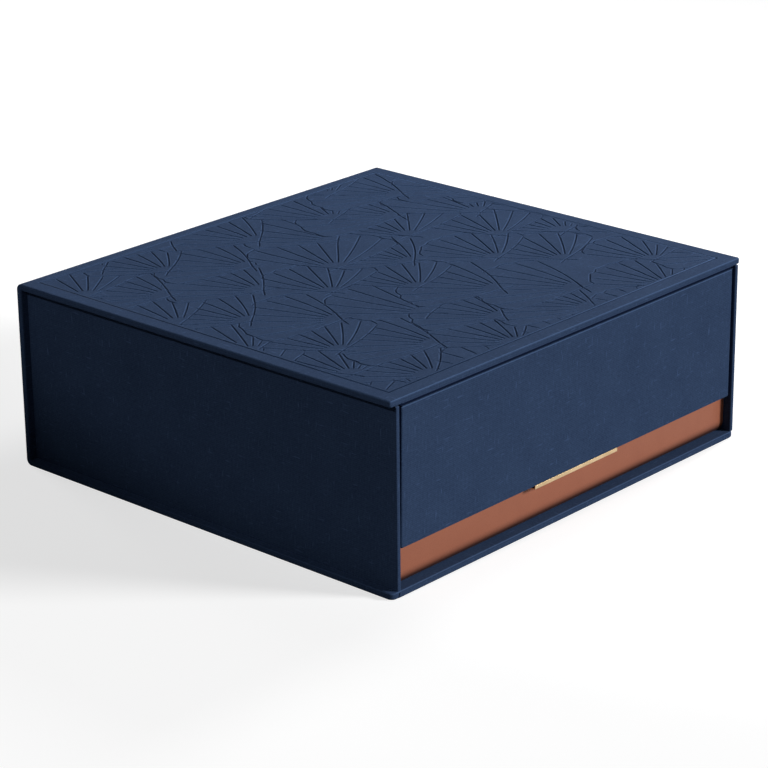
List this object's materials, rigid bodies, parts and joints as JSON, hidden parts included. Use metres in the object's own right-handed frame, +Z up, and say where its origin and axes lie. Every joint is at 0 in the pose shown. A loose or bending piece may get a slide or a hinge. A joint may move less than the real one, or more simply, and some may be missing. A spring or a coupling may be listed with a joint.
{
  "type": "magnetic closure gift box",
  "caption": "Cloth-covered rigid keepsake box: a book-style lid on a cloth hinge ends in a hinged flap that closes on hidden magnets against a leatherette front wall.",
  "frame": {"origin": "centre of the underside of the base", "axes": "+X to the right along the flap, +Y from the flap towards the spine, +Z up from the base towards the lid"},
  "size_m": [0.25, 0.236, 0.092],
  "materials": {
    "book_cloth": "woven",
    "greyboard": "matt",
    "lining_paper": "matt",
    "leatherette": "smooth satin",
    "magnet": "nickel plated",
    "brass": "brushed"
  },
  "bodies": {
    "box": {"back_rim_cloth": "book_cloth", "back_wall_board": "greyboard", "back_wall_lining": "lining_paper", "base_board": "greyboard", "base_cloth": "book_cloth", "base_corner_cloth": "book_cloth", "floor_lining": "lining_paper", "front_wall_board": "greyboard", "front_wall_cover": "leatherette", "front_wall_lining": "lining_paper", "left_wall_board": "greyboard", "left_wall_cloth": "book_cloth", "left_wall_lining": "lining_paper", "lid_hinge_cloth": "book_cloth", "right_wall_board": "greyboard", "right_wall_cloth": "book_cloth", "right_wall_lining": "lining_paper", "spine_board": "greyboard", "spine_cloth": "book_cloth", "tray_floor_board": "greyboard", "wall_magnets": "magnet"},
    "lid": {"lid_board": "greyboard", "lid_cloth": "book_cloth", "lid_lining": "lining_paper", "flap_hinge_cloth": "book_cloth"},
    "flap": {"flap_board": "greyboard", "flap_cloth": "book_cloth", "flap_lining": "lining_paper", "flap_magnets": "magnet", "brass_bar": "brass"}
  },
  "joints": [
    {"name": "lid_hinge", "type": "hinge", "parent": "box", "child": "lid", "pos_m": [0, 0.11709, 0.09109], "axis": [-1, 0, 0], "range_deg": [0, 180], "deforming": ["lid_hinge_cloth"]},
    {"name": "flap_hinge", "type": "hinge", "parent": "lid", "child": "flap", "pos_m": [0, -0.118, 0.088], "axis": [-1, 0, 0], "range_deg": [0, 180], "deforming": ["flap_hinge_cloth"]}
  ]
}
